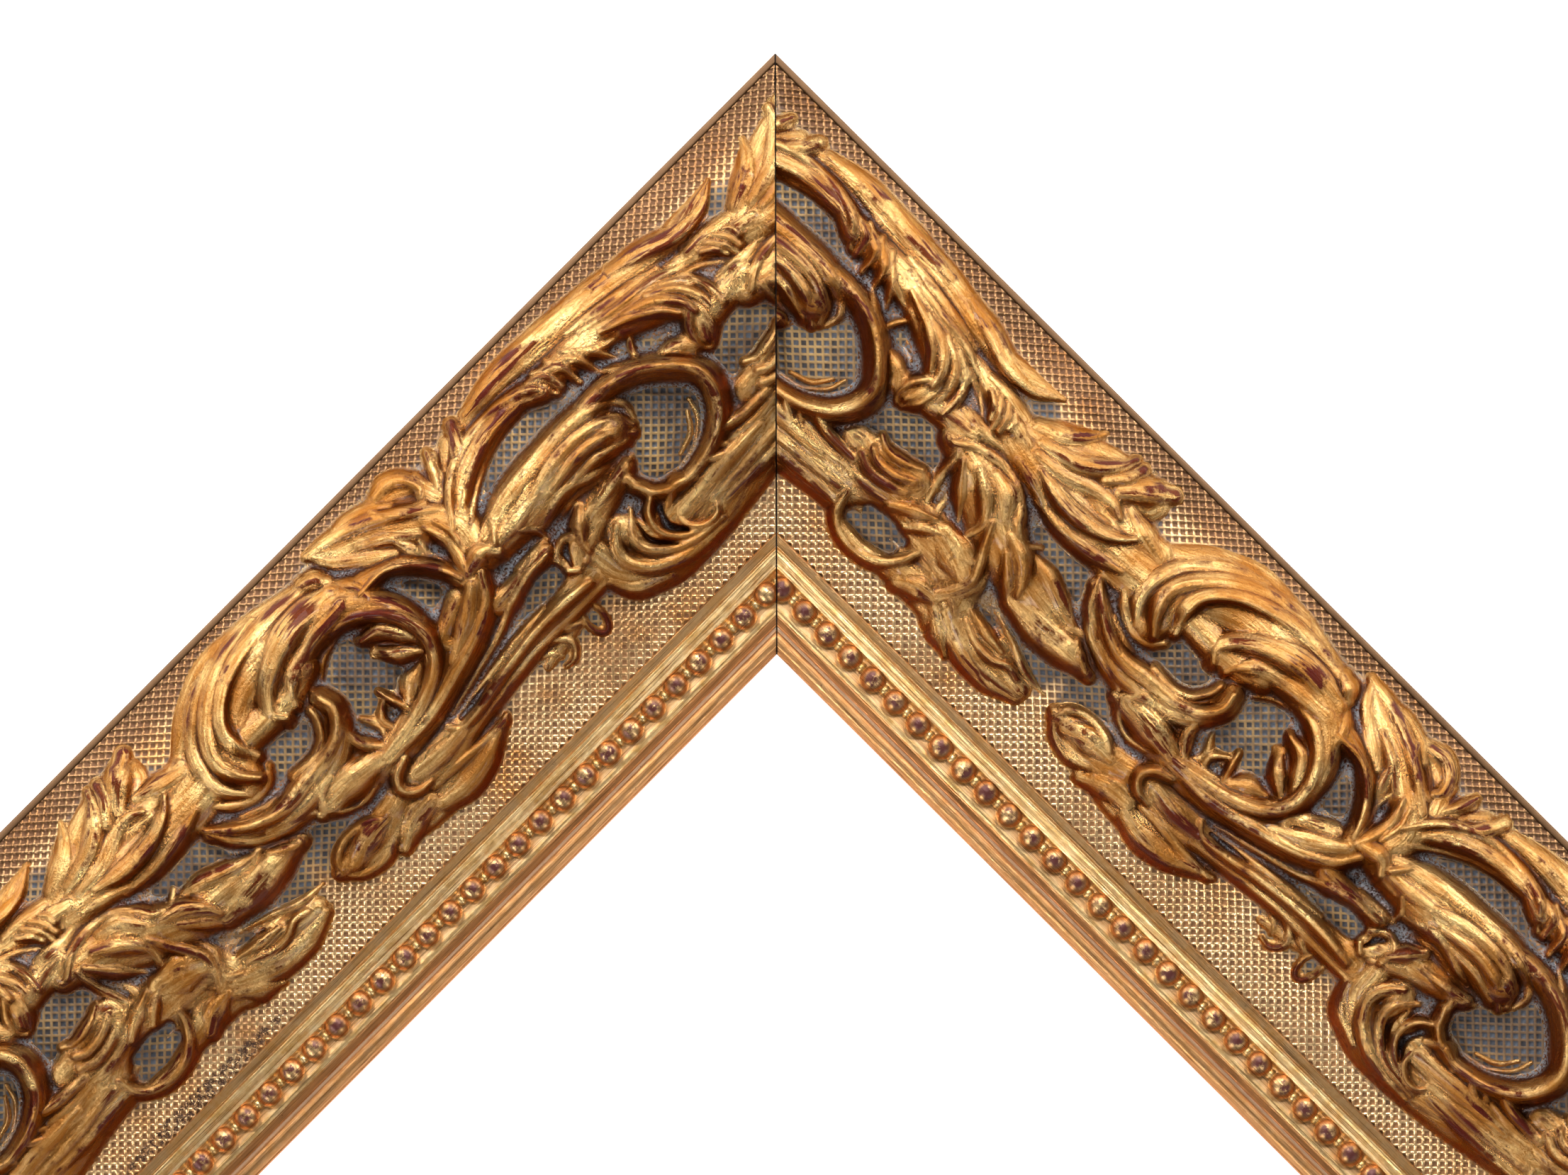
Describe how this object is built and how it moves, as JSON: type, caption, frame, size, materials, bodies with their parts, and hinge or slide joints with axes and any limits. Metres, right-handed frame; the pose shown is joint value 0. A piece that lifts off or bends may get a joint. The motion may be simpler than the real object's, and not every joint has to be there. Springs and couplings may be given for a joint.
{
  "type": "picture frame moulding corner",
  "caption": "Corner sample of a gilded picture frame moulding: mitred lengths with an acanthus scroll in high relief, a bead course and a rabbet for glass and picture.",
  "frame": {"origin": "centre of the bounding box, on the plane of the flat back", "axes": "+Z out of the carved face; the right length runs along +X from the mitre, the left length along -Y; the outer corner is at -X +Y"},
  "size_m": [0.288, 0.288, 0.0393],
  "materials": {
    "gilding": "antique gold leaf over red clay, toned with brown and grey glazes"
  },
  "bodies": {
    "root": {"left_length": "gilding", "right_length": "gilding"}
  },
  "joints": []
}
